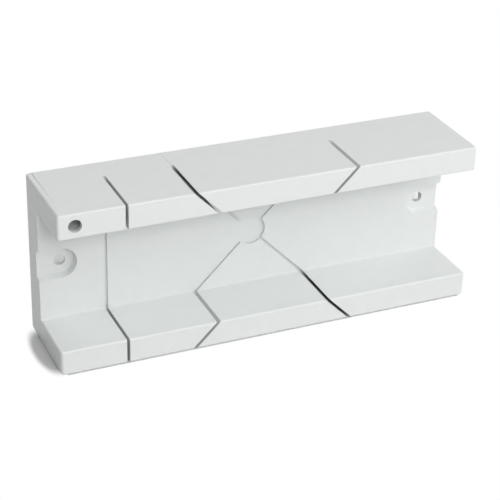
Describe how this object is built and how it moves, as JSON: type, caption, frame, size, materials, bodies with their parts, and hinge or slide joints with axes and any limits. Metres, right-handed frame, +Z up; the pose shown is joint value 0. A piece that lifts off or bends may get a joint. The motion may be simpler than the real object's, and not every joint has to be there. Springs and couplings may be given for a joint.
{
  "type": "mitre box",
  "caption": "Moulded plastic mitre box: open channel between thick hollow walls, square and crossing mitre saw kerfs, sunk screw lugs and a hanging hole.",
  "frame": {"origin": "middle of the bounding box's lower face, on the outer face of the wall that it lies on", "axes": "+X along the box, away from the end with the square kerf; +Y from the walls' free edges to the underside; +Z up, from the lower wall to the upper wall"},
  "size_m": [0.3, 0.067, 0.116],
  "materials": {
    "white_abs": "satin, as moulded"
  },
  "bodies": {
    "root": {"floor_tray": "white_abs", "lower_wall_end_block": "white_abs", "lower_wall_left_block": "white_abs", "lower_wall_centre_block": "white_abs", "lower_wall_right_block": "white_abs", "upper_wall_end_block": "white_abs", "upper_wall_left_block": "white_abs", "upper_wall_centre_block": "white_abs", "upper_wall_right_block": "white_abs"}
  },
  "joints": []
}
